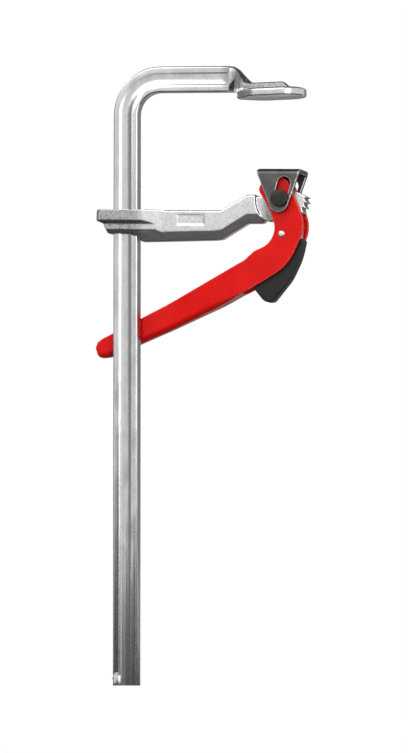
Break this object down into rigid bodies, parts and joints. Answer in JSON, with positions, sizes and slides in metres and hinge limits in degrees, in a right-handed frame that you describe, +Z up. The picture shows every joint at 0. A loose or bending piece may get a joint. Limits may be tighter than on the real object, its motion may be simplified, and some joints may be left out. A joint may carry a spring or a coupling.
{
  "type": "quick release bar clamp",
  "caption": "All-steel bar clamp: a bent profiled rail with a fixed jaw, and a sliding arm whose ratcheted lever raises a swivelling pressure pad.",
  "frame": {"origin": "middle of the fixed jaw's pressure face, on the clamping line", "axes": "+Z up along the rail, from its free foot towards the fixed arm; +X from the rail out along the arms; +Y through the clamp's thickness, away from the side that shows the lever's rivet head"},
  "size_m": [0.1952, 0.0407, 0.5263],
  "materials": {
    "plated_rail": "satin galvanised",
    "forged_steel": "galvanised forging",
    "red_coat": "glossy powder coat",
    "pad_steel": "bent sheet, plated",
    "black_steel": "blackened",
    "bright_steel": "bright zinc",
    "black_plastic": "matte moulding"
  },
  "bodies": {
    "frame": {"rail": "plated_rail"},
    "slider": {"sliding_arm": "forged_steel"},
    "pin": {"pivot_pin": "black_steel", "pin_washer": "bright_steel", "retaining_ring": "black_steel"},
    "pad": {"pressure_pad": "pad_steel"},
    "lever": {"lever": "red_coat", "pawl_rivet": "bright_steel", "pawl_spring": "bright_steel"},
    "pawl": {"pawl": "bright_steel", "trigger": "black_plastic"}
  },
  "joints": [
    {"name": "arm_slide", "type": "slide", "parent": "frame", "child": "slider", "axis": [0, 0, 1], "range_m": [-0.368, 0.0575]},
    {"name": "pad_swivel", "type": "hinge", "parent": "slider", "child": "pin", "pos_m": [0.00917, 0, -0.08711], "axis": [0, -1, 0], "range_deg": [-5, 5]},
    {"name": "pad_lift", "type": "slide", "parent": "pin", "child": "pad", "axis": [0.2807, 0, 0.9598], "range_m": [-0.008, 0.0001]},
    {"name": "lever_hinge", "type": "hinge", "parent": "slider", "child": "lever", "pos_m": [0.00917, 0, -0.08711], "axis": [0, -1, 0], "range_deg": [0, 62.5]},
    {"name": "trigger_pull", "type": "hinge", "parent": "lever", "child": "pawl", "pos_m": [0.00928, 0, -0.11674], "axis": [0, -1, 0], "range_deg": [-8, 7.5], "stiffness_Nm_per_rad": 0.05, "springref_deg": 8.02}
  ],
  "couplings": [
    {"joint": "pad_lift", "follows": "lever_hinge", "m_per_rad": -0.0072143}
  ]
}
